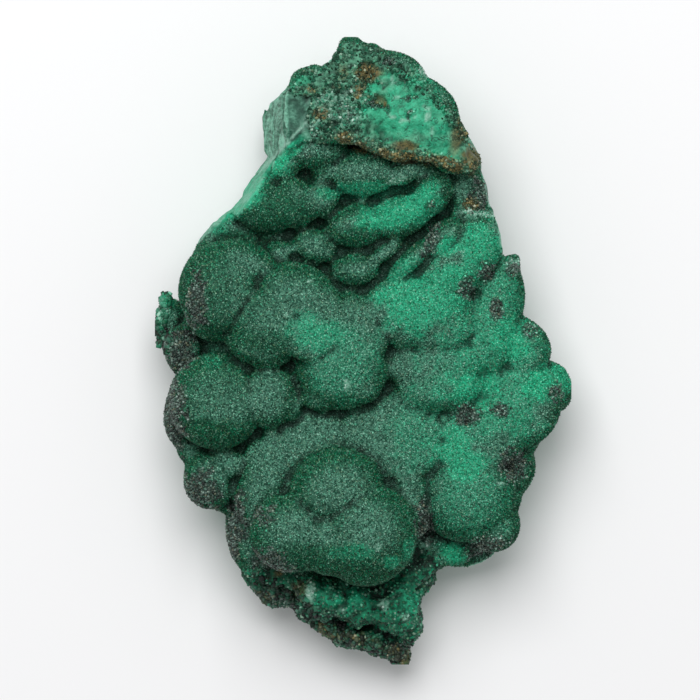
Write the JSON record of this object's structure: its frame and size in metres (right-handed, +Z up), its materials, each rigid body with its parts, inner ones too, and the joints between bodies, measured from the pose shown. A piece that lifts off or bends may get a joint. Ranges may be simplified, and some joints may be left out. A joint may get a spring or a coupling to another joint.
{
  "type": "malachite specimen",
  "caption": "Lumpy green mineral hand specimen with a rough crust across one end and a flat broken back to rest on.",
  "frame": {"origin": "middle of the specimen's bounding box, on the flat broken back that it rests on", "axes": "+Z up from the resting face to the grown, lumpy side; +Y along the length, towards the crusted crown; +X towards the pointed east side, away from the small ear"},
  "size_m": [0.0728, 0.1096, 0.0339],
  "materials": {
    "malachite": "velvet of fine crystals over dark green malachite, with brown limonite crust and pale broken faces"
  },
  "bodies": {
    "root": {"malachite_specimen": "malachite"}
  },
  "joints": []
}
